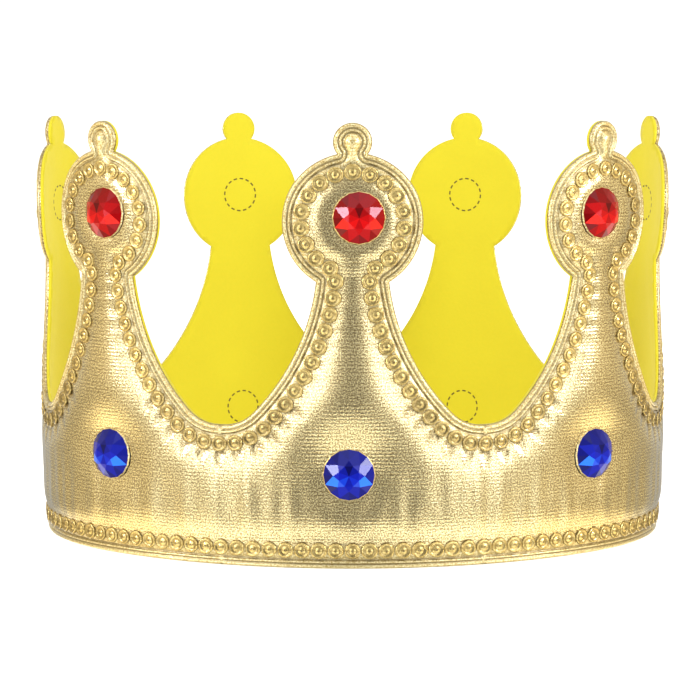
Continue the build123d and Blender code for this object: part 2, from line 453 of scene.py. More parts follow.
dice = np.random.default_rng(BEAD_SEED)
bead_rows, bead_polygons = [], []
for number, (along, height) in enumerate(beads):
    turn = dice.uniform(0, 2 * pi)
    size = dice.uniform(*BEAD_SIZES)
    x = size * (bead_shape[:, 0] * cos(turn) - bead_shape[:, 1] * sin(turn))
    z = size * (bead_shape[:, 0] * sin(turn) + bead_shape[:, 1] * cos(turn))
    tilt = dice.uniform(-BEAD_TILT, BEAD_TILT, 2)
    out = BEAD_SEAT + bead_shape[:, 2] * dice.uniform(*BEAD_RISES) + tilt[0] * x + tilt[1] * z
    bead_rows.append(wrap(along + x, height + z, out))
    shift = number * len(bead_shape)
    bead_polygons += [tuple(i + shift for i in face) for face in bead_faces]
bead_data = bpy.data.meshes.new("bead_rows")
bead_data.from_pydata(np.concatenate(bead_rows).tolist(), [], bead_polygons)
bead_data.shade_smooth()
# Painted shade: dark at the foot, in the dish ring and in the pinhole of each bead, and a little over valley
# beads.
radii = np.hypot(bead_shape[:, 0], bead_shape[:, 1])
bead_painted_shade = np.where(bead_shape[:, 2] < FOOT_RISE, 1.0, 0.0)
bead_painted_shade = np.where(np.abs(radii - DISH_RADIUS) < DISH_WIDTH, DISH_PAINTED_SHADE, bead_painted_shade)
bead_painted_shade = np.where(radii < HOLE_RADIUS, 1.0, bead_painted_shade)
valley_beads = (beads[:, 1] > 2 * BEAD_INSET) & (beads[:, 1] < BAND_HEIGHT + VALLEY_RISE)
valley_bead_shade = np.repeat(VALLEY_PAINTED_SHADE * valley_beads, len(bead_shape))
lines = bead_data.attributes.new("painted_shade", "FLOAT", "POINT")
lines.data.foreach_set("value", np.clip(np.tile(bead_painted_shade, len(beads)) + valley_bead_shade, 0, 1))
bead_trim = bpy.data.objects.new("bead_rows", bead_data)
bpy.context.scene.collection.objects.link(bead_trim)
print(len(beads), "beads,", len(bead_polygons), "faces")

# %% [markdown]
# ## Gold cover
# The cover is thin and flat where the die pressed it and puffs up over the foam inside the bead rows. Rings
# of points follow the edge, where the double line needs them, and a triangle grid fills the field. The gems
# of the three front points were glued a little off their regular places, so each gem has its own spot.

# %% Lay out the cover
GEM_RADIUS = 8.0
GEM_HEIGHTS = {"red": 109.0, "blue": 30.5}
GEM_SHIFTS = {
    "red_gem_3": (1.8, 1.1),
    "red_gem_4": (1.9, 1.1),
    "red_gem_5": (-1.8, 1.1),
    "blue_gem_3": (1.4, 2.3),
    "blue_gem_4": (-1.1, -0.3),
    "blue_gem_5": (-1.4, 2.3),
}
RINGS = (0.35, 0.8, 1.2, 1.55, 1.9, 2.25, 2.6, 2.95, 3.4, 4.6, 5.9, 7.2, 8.0, 8.7)
RING_SIDE_GAP = 0.3
RING_SLACK = 0.03
FIELD_SPACING = 1.15
FIELD_INSIDE = 9.2
POINTS_APART = 0.32

gem_spots = {}
for colour, height in GEM_HEIGHTS.items():
    for number, place in enumerate(PLACES, 1):
        shift = GEM_SHIFTS.get(f"{colour}_gem_{number}", (0.0, 0.0))
        gem_spots[f"{colour}_gem_{number}"] = (place + shift[0], height + shift[1])

extra = []
for inset in RINGS:
    right_ring = edge_points + inset * edge_ways
    ring = np.concatenate((right_ring, right_ring * (-1, 1)))
    ring = ring[np.abs(ring[:, 0]) < PITCH / 2 - RING_SIDE_GAP]
    extra += [tuple(point) for point in ring[edge_distance(ring) > inset - RING_SLACK]]
    extra += [(x, inset) for x in bottom_places[1:-1]]
extra += [tuple(point) for point in grid_points(FIELD_SPACING, FIELD_INSIDE)]
spots, faces, loop = one_point(thinned(extra, POINTS_APART, boundary))
field = strip(spots, faces, loop)
edge = np.tile(edge_distance(spots[spots[:, 0] < PITCH / 2 - BORDER_TOLERANCE]), POINT_COUNT)
print("cover:", len(field["along"]), "points,", len(field["triangles"]), "triangles")

# %% [markdown]
# The die sets the height of the cover over the lining: a double line beside the edge, a flat shelf under the
# beads, a low bed round each gem, a small pad on the knob and the butt seam at the back. Everything under
# the die is held when the fabric is blown up later, and a little noise keeps the rest from being perfectly
# even.

# %% Pressed height of the cover
PRESSED = (
    (0.0, 0.35), (0.35, 1.1), (0.8, 1.4), (1.2, 1.3), (1.55, 0.6), (1.9, 1.25), (2.25, 1.65), (2.6, 1.3),
    (2.95, 0.65), (3.4, 1.25), (4.6, 1.45), (9.0, 1.5),
)
GEM_BED, SHELF, BED_REACH, LINES_END = 2.0, 1.5, 1.6, 3.5
KNOB_FOOT, KNOB_INSET, KNOB_PUFF, KNOB_RUN = 128.5, 3.0, 1.1, 2.6
SEAM_DEPTH, SEAM_WIDTH = 0.6, 0.9
HELD_EDGE, HELD_BEAD, HELD_GEM, HELD_SEAM = 0.4, 0.15, 0.5, 0.6
BROAD_SIZE, BROAD_HEIGHT, BROAD_DEPTH = 22, 26, 0.15
SMALL_SIZE, SMALL_HEIGHT, SMALL_START, SMALL_DEPTH = 5, 7, 40, 0.12

bead_tree = KDTree(3 * len(beads))
for number, (along, height) in enumerate(beads):
    for turn in (-1, 0, 1):
        bead_tree.insert((along + turn * GIRTH, height, 0), number)
bead_tree.balance()
nearest = [bead_tree.find((s, z, 0)) for s, z in zip(field["along"], field["height"])]
to_bead = np.array([found[2] for found in nearest])
owner = np.array([found[1] for found in nearest])
to_gem = np.full(len(field["along"]), np.inf)
for along, height in gem_spots.values():
    across = (field["along"] - along + GIRTH / 2) % GIRTH - GIRTH / 2
    to_gem = np.minimum(to_gem, np.hypot(across, field["height"] - height) - GEM_RADIUS)
plan_x, plan_y, _, _ = on_oval(field["along"])


def bell(distance, width):
    """A smooth bump that fades with distance."""
    return np.exp(-((distance / width) ** 2))


def fabric_noise(size, height, start=0.0):
    """Smooth noise over the cover, with waves of about this size across and this height."""
    places = zip(plan_x, plan_y, field["height"])
    return np.array([noise.noise((x / size, y / size, z / height + start)) for x, y, z in places])


broad = fabric_noise(BROAD_SIZE, BROAD_HEIGHT)
small = fabric_noise(SMALL_SIZE, SMALL_HEIGHT, SMALL_START)
out = np.interp(edge, *np.array(PRESSED).T)
out += (GEM_BED - SHELF) * bell(np.maximum(to_gem, 0), BED_REACH) * (edge > LINES_END)
knob = (field["height"] > KNOB_FOOT) & (edge > KNOB_INSET)
out[knob] += KNOB_PUFF * np.sin(np.clip((edge[knob] - KNOB_INSET) / KNOB_RUN, 0, 1) * pi / 2)
seam = np.abs(np.abs(field["along"]) - GIRTH / 2)
out -= SEAM_DEPTH * bell(seam, SEAM_WIDTH)
held = (edge < BEAD_INSET + HELD_EDGE) | (to_bead < BEAD_RADIUS + HELD_BEAD)
held |= (to_gem < HELD_GEM) | (seam < HELD_SEAM)
out += np.where(held, 0, SMALL_DEPTH * small + BROAD_DEPTH * broad)
print("held points:", int(held.sum()), "of", len(held))

# %% [markdown]
# Below each bead of a valley the fabric is pinched into a short tail, and soft upright folds run low on the
# band. Both are finer than the cloth simulation keeps, so they are worked out here and added after it. An
# attribute paints shade brown into the cut edge, the pressed lines, the feet of the beads and the tails, where
# shade falls. This is painted shade, and in each tail it is a painted shadow below its bead.

# %% Tails, folds and painted shade in the grooves
TAIL_LENGTH, TAIL_WIDTH, TAIL_DEPTH = 5.5, 2.2, 0.5
TAIL_FILL, TAIL_TAPER, TAIL_FADE = 1.3, 1.05, 0.6
FOLD_SIZE, FOLD_HEIGHT, FOLD_START, FOLD_DEPTH = 4.0, 45, 80, 0.5
FOLD_LEVEL, FOLD_SPREAD, FOLD_RUN = 18.0, 12.0, 2.5
LINE_INSETS, LINE_WIDTH = (1.55, 2.95), 0.3
# How strongly shade is painted at the cut edge, at the feet of the beads and in the tails.
CUT_WIDTH, CUT_PAINTED_SHADE = 0.25, 0.8
BEAD_FOOT_GAP, BEAD_FOOT_WIDTH, BEAD_FOOT_PAINTED_SHADE = 0.1, 0.5, 0.55
TAIL_PAINTED_SHADE = 0.9

away = edge - BEAD_INSET
aside = np.sqrt(np.maximum(to_bead**2 - away**2, 0))
down = np.clip((away - BEAD_RADIUS) / TAIL_LENGTH, 0, 1)
tails = np.clip(TAIL_FILL - TAIL_FILL * aside / (TAIL_WIDTH * (TAIL_TAPER - down)), 0, 1)
tails = tails * valley_beads[owner] * (away > 0) * (1 - TAIL_FADE * down) * (down < 1)
clear = np.minimum(np.maximum(to_bead - BEAD_RADIUS, 0), np.maximum(to_gem, 0))
folds = fabric_noise(FOLD_SIZE, FOLD_HEIGHT, FOLD_START)
low_band = bell(field["height"] - FOLD_LEVEL, FOLD_SPREAD)
settled = 1 - np.exp(-clear / FOLD_RUN)
creases = np.where(held, 0, FOLD_DEPTH * folds * low_band * settled - TAIL_DEPTH * tails)
# Painted shade: darker at the cut edge, in the two pressed lines, at the feet of the beads and in the tails.
painted_shade = sum(bell(edge - inset, LINE_WIDTH) for inset in LINE_INSETS) + CUT_PAINTED_SHADE * bell(edge, CUT_WIDTH)
bead_feet = bell(to_bead - BEAD_RADIUS - BEAD_FOOT_GAP, BEAD_FOOT_WIDTH)
painted_shade += BEAD_FOOT_PAINTED_SHADE * bead_feet + TAIL_PAINTED_SHADE * tails
print("points in tails:", int((tails > 0).sum()))

# %% [markdown]
# The foam under the cover was squeezed flat along the beads and gems and springs up between them. Blender's
# cloth does the same: points under the die are pinned, the rest grows a little and is blown outwards. Stems
# and heads get the full pressure and the band only a share of it, because the real band stays flatter. The
# sheet is made a hundred times larger for the simulation, because cloth settings are meant for things of
# metre size.

# %% Blow the cover up as cloth
SIM_SCALE = 100.0
SIM_FRAMES = 18
BAND_GROWTH = 0.006
STEM_GROWTH = 0.004
PRESSURE = 1.3
BAND_PRESSURE_SHARE = 0.12
STEM_START = 6.0
STEM_RUN = 14.0
CLOTH = {
    "quality": 4,
    "mass": 0.2,
    "air_damping": 4.0,
    "tension_stiffness": 12.0,
    "compression_stiffness": 12.0,
    "shear_stiffness": 6.0,
    "bending_stiffness": 2.5,
    "vertex_group_mass": "pinned",
    "vertex_group_shrink": "calm",
    "shrink_min": -BAND_GROWTH,
    "shrink_max": -STEM_GROWTH,
    "use_pressure": True,
    "uniform_pressure_force": PRESSURE,
    "vertex_group_pressure": "blown_up",
}


def blown_up(places):
    """The places of the cover after the free ones are blown up as cloth."""
    mesh = bpy.data.meshes.new("puff_sheet")
    mesh.from_pydata((places * SIM_SCALE).tolist(), [], field["triangles"].tolist())
    sheet = bpy.data.objects.new("puff_sheet", mesh)
    bpy.context.scene.collection.objects.link(sheet)
    pinned, calm, pressed = (sheet.vertex_groups.new(name=name) for name in ("pinned", "calm", "blown_up"))
    pinned.add(np.flatnonzero(held).tolist(), 1.0, "REPLACE")
    stem_shares = np.clip((field["height"] - BAND_HEIGHT + STEM_START) / STEM_RUN, 0, 1)
    for number, share in enumerate(stem_shares):
        calm.add([number], share, "REPLACE")
        pressed.add([number], BAND_PRESSURE_SHARE + (1 - BAND_PRESSURE_SHARE) * share, "REPLACE")
    cloth = sheet.modifiers.new("puff", "CLOTH")
    for name, value in CLOTH.items():
        setattr(cloth.settings, name, value)
    cloth.settings.effector_weights.gravity = 0.0
    cloth.collision_settings.use_collision = False
    cloth.point_cache.frame_end = SIM_FRAMES
    for number in range(1, SIM_FRAMES + 1):
        bpy.context.scene.frame_set(number)
    blown = sheet.evaluated_get(bpy.context.evaluated_depsgraph_get()).data
    shape = np.empty(3 * len(places))
    blown.vertices.foreach_get("co", shape)
    moved = shape.reshape(-1, 3) / SIM_SCALE - places
    print("cloth moved", round(float(np.linalg.norm(moved, axis=1).max()) / MM, 2), "mm at most")
    bpy.context.scene.frame_set(1)
    bpy.data.objects.remove(sheet)
    bpy.data.meshes.remove(mesh)
    return np.where(held[:, None], places, places + moved)


places = blown_up(wrap(field["along"], field["height"], out))
print("cover puffed,", len(places), "points")

# %% [markdown]
# With the creases added, the puffed face and a plain back are closed into one padded piece.

# %% Close the cover
COVER_BACK = 0.02

places += wrap(field["along"], field["height"], creases) - wrap(field["along"], field["height"], 0.0)
cover_back = wrap(coarse["along"], coarse["height"], COVER_BACK)
cover = closed_sheet("padded_gold_cover", field, places, coarse, cover_back)
# The painted shade goes on the face of the cover, and none goes on its back.
lines = cover.data.attributes.new("painted_shade", "FLOAT", "POINT")
lines.data.foreach_set("value", np.concatenate((np.clip(painted_shade, 0, 1), np.zeros(len(coarse["along"])))))
print("cover:", len(cover.data.polygons), "faces")

# %% [markdown]
# ## Yellow lining
# The lining is a flat felt strip of the same cut. The die shows through it as a faint relief of the bead
# row. It stops a little above the bottom edge, so that only the cover touches the table.

# %% Lining
LINING_THICKNESS = 1.0
LINING_FOOT = 0.4
LINING_GAP = 0.05
LINING_SPACING, LINING_INSIDE, LINING_BOTTOM, LINING_APART = 2.2, 0.8, 1.0, 0.5
RELIEF_DEPTH, RELIEF_WIDTH = 0.25, 1.6

lining_grid = [tuple(point) for point in grid_points(LINING_SPACING, LINING_INSIDE, LINING_BOTTOM)]
inner_spots, inner_faces, inner_loop = one_point(thinned(lining_grid, LINING_APART, boundary))
inner = strip(inner_spots, inner_faces, inner_loop)
inner_near = np.array([bead_tree.find((s, z, 0))[2] for s, z in zip(inner["along"], inner["height"])])
relief = -LINING_THICKNESS - RELIEF_DEPTH * bell(inner_near, RELIEF_WIDTH)
outer = {**coarse, "height": np.maximum(coarse["height"], LINING_FOOT)}
inner["height"] = np.maximum(inner["height"], LINING_FOOT)
lining = closed_sheet(
    "yellow_felt_lining",
    outer,
    wrap(outer["along"], outer["height"], -LINING_GAP),
    inner,
    wrap(inner["along"], inner["height"], relief),
)

# %% [markdown]
# ## Gems
# Round acrylic gems with flat foil backs: a girdle, sixteen small facets, eight kites, eight stars and a
# table. The facets are flat and meet in exact corners, so the mesh is written facet by facet and stays flat
# shaded. Each facet has a painted tone of its own, a painted reflection of the light that the foil behind it
# throws back, from dark to bright. The lowest ring of faces is the lip of fabric that the gem sits in.

# %% Gems
GEM_RISE = 3.6
GIRDLE = 0.45
RIM_RADIUS = 8.3
TABLE_RADIUS = 3.4
STAR_RADIUS = 4.9
GEM_SEAT = 2.05
SIDES, KITES = 16, 8
GEM_SEED = 5
# Painted reflections of the foil: a tone for each kind of facet, from 0 dark to 1 bright.
RIM_PAINTED_REFLECTION = 0.2
SMALL_PAINTED_REFLECTIONS = (0.08, 0.26)
KITE_PAINTED_REFLECTIONS = (0.2, 0.16, 0.4, 1.0, 0.42, 0.36, 1.0, 0.35)
STAR_PAINTED_REFLECTIONS = (0.3, 0.1, 0.34, 0.5, 0.66, 0.4, 0.6, 0.48)
TABLE_DROP = 0.08


def gem_ring(radius, rise, count, shift):
    """Corners of one ring of a gem."""
    turns = [(number + shift) * 2 * pi / count for number in range(count)]
    return [(radius * cos(turn), radius * sin(turn), rise) for turn in turns]


def gem_shape():
    """Points, faces and painted reflections of one gem, and how many back and rim faces come first."""
    slope = (GEM_RISE - GIRDLE) / (GEM_RADIUS - TABLE_RADIUS)
    star_rise = GEM_RISE - (STAR_RADIUS * cos(pi / KITES) - TABLE_RADIUS) * slope
    points = gem_ring(RIM_RADIUS, 0, SIDES, 1) + gem_ring(GEM_RADIUS, GIRDLE, SIDES, 1)
    points += gem_ring(STAR_RADIUS, star_rise, KITES, 1) + gem_ring(TABLE_RADIUS, GEM_RISE, KITES, 3 / 2)
    points.append((0, 0, GEM_RISE))
    girdle, star, table = SIDES, 2 * SIDES, 2 * SIDES + KITES
    middle = table + KITES
    facets = [tuple(range(SIDES - 1, -1, -1))]
    for number in range(SIDES):
        after = (number + 1) % SIDES
        facets.append((number, after, girdle + after, girdle + number))
    rims = len(facets)
    tones = [RIM_PAINTED_REFLECTION] * rims
    dice = np.random.default_rng(GEM_SEED)
    for number in range(KITES):
        before, after = (number - 1) % KITES, (number + 1) % KITES
        first, second = girdle + 2 * number, girdle + 2 * number + 1
        third = girdle + (2 * number + 2) % SIDES
        facets.append((first, second, star + number))
        facets.append((second, third, star + number))
        tones += list(dice.uniform(*SMALL_PAINTED_REFLECTIONS, 2))
        facets.append((table + number, star + number, third, star + after))
        tones.append(KITE_PAINTED_REFLECTIONS[number])
        facets.append((table + before, star + number, table + number))
        facets.append((table + before, table + number, middle))
        tones += [STAR_PAINTED_REFLECTIONS[number], STAR_PAINTED_REFLECTIONS[number] - TABLE_DROP]
    return np.array(points), facets, tones, rims


gem_points, gem_facets, gem_painted_reflections, rim_count = gem_shape()
gems = {}
for node, (along, height) in gem_spots.items():
    base = wrap(np.array([along]), np.array([height]), np.array([GEM_SEAT]))[0]
    _, _, out_x, out_y = (float(value[0]) for value in on_oval(np.array([along])))
    ways = np.array(((-out_y, out_x, 0), (0, 0, 1), (out_x, out_y, 0)))
    corners = base + MM * sum(gem_points[:, i : i + 1] * ways[i] for i in range(3))
    mesh = bpy.data.meshes.new(node.replace("gem", "acrylic_gem"))
    mesh.from_pydata(corners.tolist(), [], gem_facets)
    gems[node] = bpy.data.objects.new(mesh.name, mesh)
    bpy.context.scene.collection.objects.link(gems[node])
print(len(gems), "gems of", len(gem_facets), "facets")

# %% [markdown]
# ## Materials
# Colours are sRGB hex values. One function turns them to linear, and one small function adds a node. The mix
# node keeps its two colours and its result in numbered sockets, so those numbers get names.

# %% Helpers for materials
MATH, MIX, RANGE = "ShaderNodeMath", "ShaderNodeMix", "ShaderNodeMapRange"
NOISE, PRINCIPLED = "ShaderNodeTexNoise", "ShaderNodeBsdfPrincipled"
OUTPUT = "ShaderNodeOutputMaterial"
FIRST, SECOND, MIXED = 6, 7, 2


def linear(code):
    """A linear colour from an sRGB hex value."""
    values = [int(code[i : i + 2], 16) / 255 for i in (1, 3, 5)]
    return (*[v / 12.92 if v <= 0.04045 else ((v + 0.055) / 1.055) ** 2.4 for v in values], 1.0)


def add(tree, kind, inputs=None, **settings):
    """A new node with its settings, and with values or links on its inputs."""
    made = tree.nodes.new(kind)
    for name, value in settings.items():
        setattr(made, name, value)
    for name, value in (inputs or {}).items():
        if isinstance(value, bpy.types.NodeSocket):
            tree.links.new(value, made.inputs[name])
        else:
            made.inputs[name].default_value = value
    return made


def finish_for(name):
    """A new material and its tree, emptied."""
    made = bpy.data.materials.new(name)
    made.use_nodes = True
    made.node_tree.nodes.clear()
    return made, made.node_tree


print("linear value of middle grey:", round(linear("#808080")[0], 3))

# %% [markdown]
# ### Gold lamé knit
# Polyester knit with a metal film on its face. It reflects like rough metal, in soft streaks. Level ribs run
# round the crown, with a grain of loops between them. The real ones are finer, and they are drawn as coarse
# as they need to be to show. Shade is painted brown into grooves and creases, where an attribute of the mesh
# marks them. Three finishes come from one function: the knit of the field, the smoother pressed border and
# the browner beads.

# %% Gold lamé knit
RIB_PITCH = 1.1
GRAIN_SIZE = 0.42
WAVER_SIZE = 9.0
RIB_WAVER = 2.5
GRAIN_RELIEF = 4.5
RIB_TINT = 0.03
GRAIN_RANGE = (0.36, 0.64)
WAVER_RANGE = (0.3, 0.7)
KNIT_BUMP, PRESSED_BUMP, BUMP_DEPTH = 0.2, 0.1, 0.06
# How strongly shade is painted into grooves on the knit and on the pressed finishes.
KNIT_PAINTED_SHADE, PRESSED_PAINTED_SHADE = 0.6, 0.75
SHINE_SPREAD = 0.05
# The brown of the painted shade.
PAINTED_SHADE_BROWN = "#57431C"


def gold_finish(name, pale, deep, roughness, metallic, knit):
    """Metal film between a pale and a deep tone, with ribs that follow the pattern on the knit."""
    made, tree = finish_for(name)
    spots = add(tree, "ShaderNodeTexCoord").outputs["UV" if knit else "Object"]
    up = add(tree, "ShaderNodeSeparateXYZ", {"Vector": spots}).outputs["Y" if knit else "Z"]
    waver = add(tree, NOISE, {"Vector": spots, "Scale": 1 / (WAVER_SIZE * MM), "Detail": 2.0}).outputs["Fac"]
    grain = add(tree, NOISE, {"Vector": spots, "Scale": 1 / (GRAIN_SIZE * MM), "Detail": 1.0}).outputs["Fac"]
    level = add(tree, MATH, {0: up, 1: 2 * pi / (RIB_PITCH * MM)}, operation="MULTIPLY").outputs[0]
    bend = add(tree, MATH, {0: waver, 1: RIB_WAVER, 2: level}, operation="MULTIPLY_ADD").outputs[0]
    rib = add(tree, MATH, {0: bend}, operation="SINE").outputs[0]
    relief = add(tree, MATH, {0: grain, 1: GRAIN_RELIEF, 2: rib}, operation="MULTIPLY_ADD").outputs[0]
    tint = add(tree, MATH, {0: rib, 1: RIB_TINT, 2: grain}, operation="MULTIPLY_ADD").outputs[0]
    strength = KNIT_BUMP if knit else PRESSED_BUMP
    bump = add(tree, "ShaderNodeBump", {"Height": relief, "Strength": strength, "Distance": BUMP_DEPTH * MM})
    shade = add(tree, RANGE, {"Value": tint, "From Min": GRAIN_RANGE[0], "From Max": GRAIN_RANGE[1]})
    tones = {"Factor": shade.outputs["Result"], FIRST: linear(deep), SECOND: linear(pale)}
    colour = add(tree, MIX, tones, data_type="RGBA").outputs[MIXED]
    # Painted shade: an attribute darkens the gold towards a brown in grooves and creases.
    lines = add(tree, "ShaderNodeAttribute", attribute_name="painted_shade").outputs["Fac"]
    painted_shade_share = add(tree, MATH, {0: lines, 1: KNIT_PAINTED_SHADE if knit else PRESSED_PAINTED_SHADE}, operation="MULTIPLY")
    welds_and_painted_shade = {"Factor": painted_shade_share.outputs[0], FIRST: colour, SECOND: linear(PAINTED_SHADE_BROWN)}
    shaded_colour = add(tree, MIX, welds_and_painted_shade, data_type="RGBA").outputs[MIXED]
    streaks = {
        "Value": waver,
        "From Min": WAVER_RANGE[0],
        "From Max": WAVER_RANGE[1],
        "To Min": roughness - SHINE_SPREAD,
        "To Max": roughness + SHINE_SPREAD,
    }
    film = {
        "Base Color": shaded_colour,
        "Metallic": metallic,
        "Roughness": add(tree, RANGE, streaks).outputs["Result"],
        "Normal": bump.outputs["Normal"],
        "Coat Weight": 0.6,
        "Coat Roughness": 0.3,
    }
    add(tree, OUTPUT, {"Surface": add(tree, PRINCIPLED, film).outputs[0]})
    return made


gold_knit = gold_finish("gold_lame_knit", "#F8E9AE", "#8C6E30", 0.22, 0.9, True)
pressed_gold = gold_finish("pressed_gold_lame", "#FBEDB2", "#B89A50", 0.38, 0.88, False)
bead_gold = gold_finish("pressed_gold_beads", "#E4CC80", "#B2954C", 0.28, 0.92, False)
print("gold finishes:", [material.name for material in (gold_knit, pressed_gold, bead_gold)])

# %% [markdown]
# ### Yellow felt
# Soft polyester felt, bright lemon yellow and matte, with a fine fibrous face. A hot tool welded it behind
# each gem in a ring of short brown dashes. The pattern map gives the place on the strip, and the rings
# repeat with every point, so one ring is drawn for each height and folded along the band.

# %% Yellow felt
WELD_RADIUS = 5.9
WELD_WIDTH = 0.35
WELD_DASHES = 16
WELD_DEPTH = -1.5
WELD_BROWN = 0.95
WELD_FADE = {"From Min": WELD_WIDTH * 0.5, "From Max": WELD_WIDTH, "To Min": 1.0, "To Max": 0.0}
DASH_RANGE = {"From Min": -0.5, "From Max": 0.0}
FUZZ_SIZE = 1.2
CLOUD_SIZE = 18.0
FLECKS = {"From Min": 0.35, "From Max": 0.7, "To Min": 0.0, "To Max": 0.22}
FELT_BUMP, FELT_DEPTH = 0.35, 0.15
WHOLE_TURNS = 10.0


def felt_finish(name):
    """Matte felt with flecks of fibre and a ring of weld marks behind every gem."""
    made, tree = finish_for(name)
    spots = add(tree, "ShaderNodeTexCoord").outputs["UV"]
    axes = add(tree, "ShaderNodeSeparateXYZ", {"Vector": spots})
    pitches = {0: axes.outputs["X"], 1: 1 / (PITCH * MM), 2: WHOLE_TURNS}
    turns = add(tree, MATH, pitches, operation="MULTIPLY_ADD").outputs[0]
    share = add(tree, MATH, {0: turns, 1: 1.0}, operation="MODULO").outputs[0]
    whole = add(tree, MATH, {0: share}, operation="ROUND").outputs[0]
    offset = add(tree, MATH, {0: share, 1: whole}, operation="SUBTRACT").outputs[0]
    local_x = add(tree, MATH, {0: offset, 1: PITCH}, operation="MULTIPLY").outputs[0]
    marks = []
    for height in GEM_HEIGHTS.values():
        rise = {0: axes.outputs["Y"], 1: 1 / MM, 2: -height}
        local_z = add(tree, MATH, rise, operation="MULTIPLY_ADD").outputs[0]
        spot = add(tree, "ShaderNodeCombineXYZ", {"X": local_x, "Y": local_z})
        reach = add(tree, "ShaderNodeVectorMath", {0: spot.outputs[0]}, operation="LENGTH").outputs["Value"]
        away = add(tree, MATH, {0: reach, 1: WELD_RADIUS}, operation="SUBTRACT").outputs[0]
        aside = add(tree, MATH, {0: away}, operation="ABSOLUTE").outputs[0]
        line = add(tree, RANGE, {"Value": aside, **WELD_FADE}).outputs["Result"]
        turn = add(tree, MATH, {0: local_z, 1: local_x}, operation="ARCTAN2").outputs[0]
        beat = add(tree, MATH, {0: turn, 1: float(WELD_DASHES)}, operation="MULTIPLY").outputs[0]
        wave = add(tree, MATH, {0: beat}, operation="SINE").outputs[0]
        dash = add(tree, RANGE, {"Value": wave, **DASH_RANGE}).outputs["Result"]
        marks.append(add(tree, MATH, {0: line, 1: dash}, operation="MULTIPLY").outputs[0])
    mark = add(tree, MATH, dict(enumerate(marks)), operation="MAXIMUM").outputs[0]
    fuzz = add(tree, NOISE, {"Vector": spots, "Scale": 1 / (FUZZ_SIZE * MM), "Detail": 4.0}).outputs["Fac"]
    cloud = add(tree, NOISE, {"Vector": spots, "Scale": 1 / (CLOUD_SIZE * MM), "Detail": 2.0}).outputs["Fac"]
    lemon = {"Factor": cloud, FIRST: linear("#C8BB0C"), SECOND: linear("#CEC213")}
    tone = add(tree, MIX, lemon, data_type="RGBA").outputs[MIXED]
    flecks = add(tree, RANGE, {"Value": fuzz, **FLECKS}).outputs["Result"]
    fibres = {"Factor": flecks, FIRST: tone, SECOND: linear("#D9C212")}
    fibre = add(tree, MIX, fibres, data_type="RGBA").outputs[MIXED]
    weld_share = add(tree, MATH, {0: mark, 1: WELD_BROWN}, operation="MULTIPLY").outputs[0]
    welds = {"Factor": weld_share, FIRST: fibre, SECOND: linear("#4A3A08")}
    welds_and_painted_shade = add(tree, MIX, welds, data_type="RGBA").outputs[MIXED]
    dent = add(tree, MATH, {0: mark, 1: WELD_DEPTH, 2: fuzz}, operation="MULTIPLY_ADD").outputs[0]
    bump = add(tree, "ShaderNodeBump", {"Height": dent, "Strength": FELT_BUMP, "Distance": FELT_DEPTH * MM})
    felt = {"Base Color": welds_and_painted_shade, "Roughness": 0.85, "Normal": bump.outputs["Normal"], "Sheen Weight": 0.15}
    add(tree, OUTPUT, {"Surface": add(tree, PRINCIPLED, felt).outputs[0]})
    return made


yellow_felt = felt_finish("yellow_polyester_felt")
print("felt:", yellow_felt.name, "with", WELD_DASHES, "dashes in a weld ring")

# %% [markdown]
# ### Acrylic
# Clear acrylic, dyed through and backed with foil. It is smooth and glossy, and each facet shows a different
# tone of the same colour, from dark through middle to bright. This tone is a painted reflection of the foil,
# set by a facet attribute.

# %% Acrylic
HALF_TONE = 0.5


def acrylic(name, dark, middle, bright):
    """Dyed acrylic over foil, with painted reflections of the foil from the facet attribute."""
    made, tree = finish_for(name)
    # Painted reflection: the facet attribute picks each facet's colour from dark through middle to bright.
    tone = add(tree, "ShaderNodeAttribute", attribute_name="facet_painted_reflection").outputs["Fac"]
    low = add(tree, RANGE, {"Value": tone, "From Min": 0.0, "From Max": HALF_TONE}).outputs["Result"]
    high = add(tree, RANGE, {"Value": tone, "From Min": HALF_TONE, "From Max": 1.0}).outputs["Result"]
    deep = {"Factor": low, FIRST: linear(dark), SECOND: linear(middle)}
    first = add(tree, MIX, deep, data_type="RGBA").outputs[MIXED]
    light = {"Factor": high, FIRST: first, SECOND: linear(bright)}
    second = add(tree, MIX, light, data_type="RGBA").outputs[MIXED]
    gloss = {"Base Color": second, "Roughness": 0.05, "IOR": 1.49, "Specular IOR Level": 0.2}
    add(tree, OUTPUT, {"Surface": add(tree, PRINCIPLED, gloss).outputs[0]})
    return made


ruby = acrylic("dyed_red_acrylic", "#4A0204", "#B00609", "#DE1A0C")
sapphire = acrylic("dyed_blue_acrylic", "#04063C", "#101C9C", "#1C6CF0")
print("acrylics:", ruby.name, sapphire.name)

# %% [markdown]
# ### Putting the finishes on
# The pressed border of the cover reaches to just past the bead row, and its faces get the smoother gold.
# Each gem has a lip of the same gold round its foot.

# %% Finishes on the pieces
BORDER_BEAD_SHARE = 0.7

for node, gem in gems.items():
    # The painted reflections of the foil go on each gem's facets as an attribute.
    tones = gem.data.attributes.new("facet_painted_reflection", "FLOAT", "FACE")
    tones.data.foreach_set("value", gem_painted_reflections)
    gem.data.materials.append(ruby if node.startswith("red") else sapphire)
    gem.data.materials.append(pressed_gold)
    for face in gem.data.polygons[1:rim_count]:
        face.material_index = 1
cover.data.materials.append(gold_knit)
cover.data.materials.append(pressed_gold)
border = edge[field["triangles"]].mean(axis=1) < BEAD_INSET + BORDER_BEAD_SHARE * BEAD_RADIUS
finish_numbers = np.zeros(len(cover.data.polygons), dtype=np.int32)
finish_numbers[: len(border)] = border
cover.data.polygons.foreach_set("material_index", finish_numbers)
bead_trim.data.materials.append(bead_gold)
lining.data.materials.append(yellow_felt)
print("pressed border:", int(border.sum()), "of", len(border), "triangles of the cover's face")

